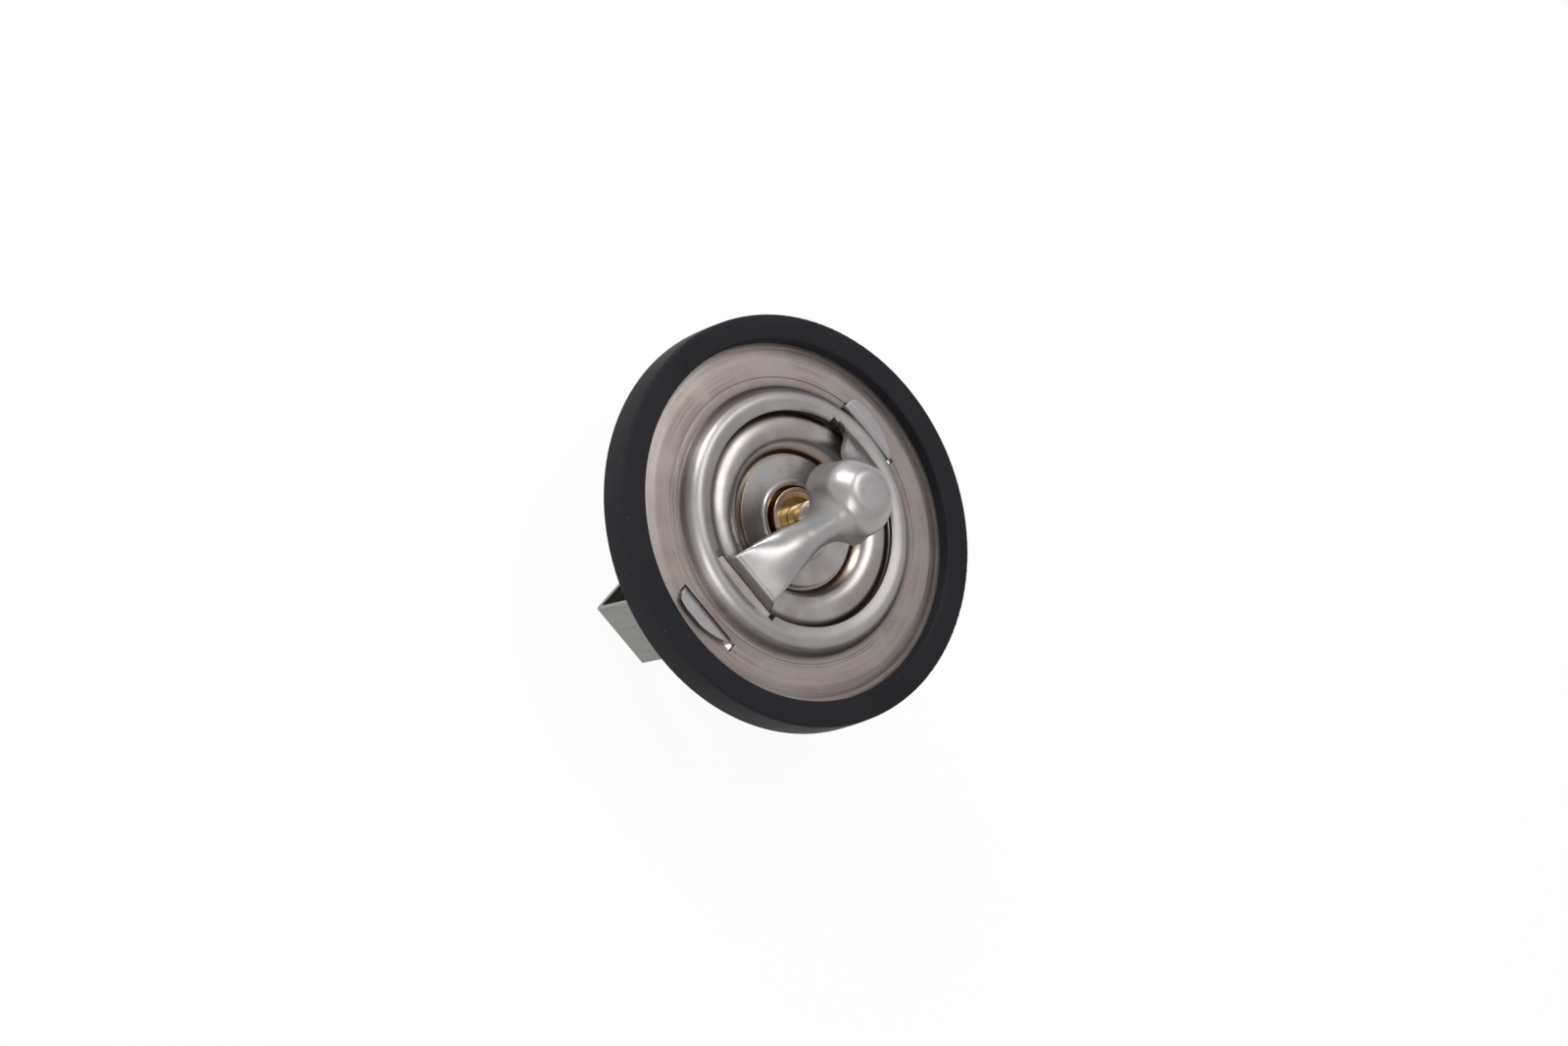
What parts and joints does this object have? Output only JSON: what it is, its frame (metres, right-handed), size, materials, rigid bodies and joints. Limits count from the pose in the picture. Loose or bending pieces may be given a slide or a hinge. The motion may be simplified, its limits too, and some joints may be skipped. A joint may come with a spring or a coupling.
{
  "type": "engine thermostat",
  "caption": "Coolant valve insert: round rubber-edged flange with a raised bridge and dome over a spring-loaded disc valve, wax element and folded stirrup below.",
  "frame": {"origin": "on the thermostat's axis, level with the stirrup's flat underside", "axes": "+Z along the axis towards the dome, +X along the bridge and the stirrup"},
  "size_m": [0.0644, 0.0644, 0.0485],
  "materials": {
    "black_rubber": "satin moulded rubber",
    "stainless": "pressed stainless sheet, polished on the drawn forms",
    "stainless_strap": "satin stainless strap",
    "ground_steel": "ground and polished",
    "brass": "turned",
    "wax": "wax filled with metal powder",
    "inner_rubber": "moulded rubber",
    "white_plastic": "smooth",
    "spring_steel": "drawn wire"
  },
  "bodies": {
    "frame": {"rubber_seal": "black_rubber", "flange_bridge": "stainless", "stirrup": "stainless_strap", "piston": "ground_steel", "antifriction_disc": "white_plastic", "rubber_plug": "inner_rubber", "main_spring": "spring_steel"},
    "element": {"valve_disc": "stainless", "retaining_washer": "stainless", "guide": "brass", "diaphragm": "inner_rubber", "wax_cup": "brass", "wax_charge": "wax"}
  },
  "joints": [
    {"name": "valve_slide", "type": "slide", "parent": "frame", "child": "element", "axis": [0, 0, -1], "range_m": [0, 0.008], "stiffness_N_per_m": 6000, "springref_m": -0.008, "deforming": ["main_spring"]}
  ]
}
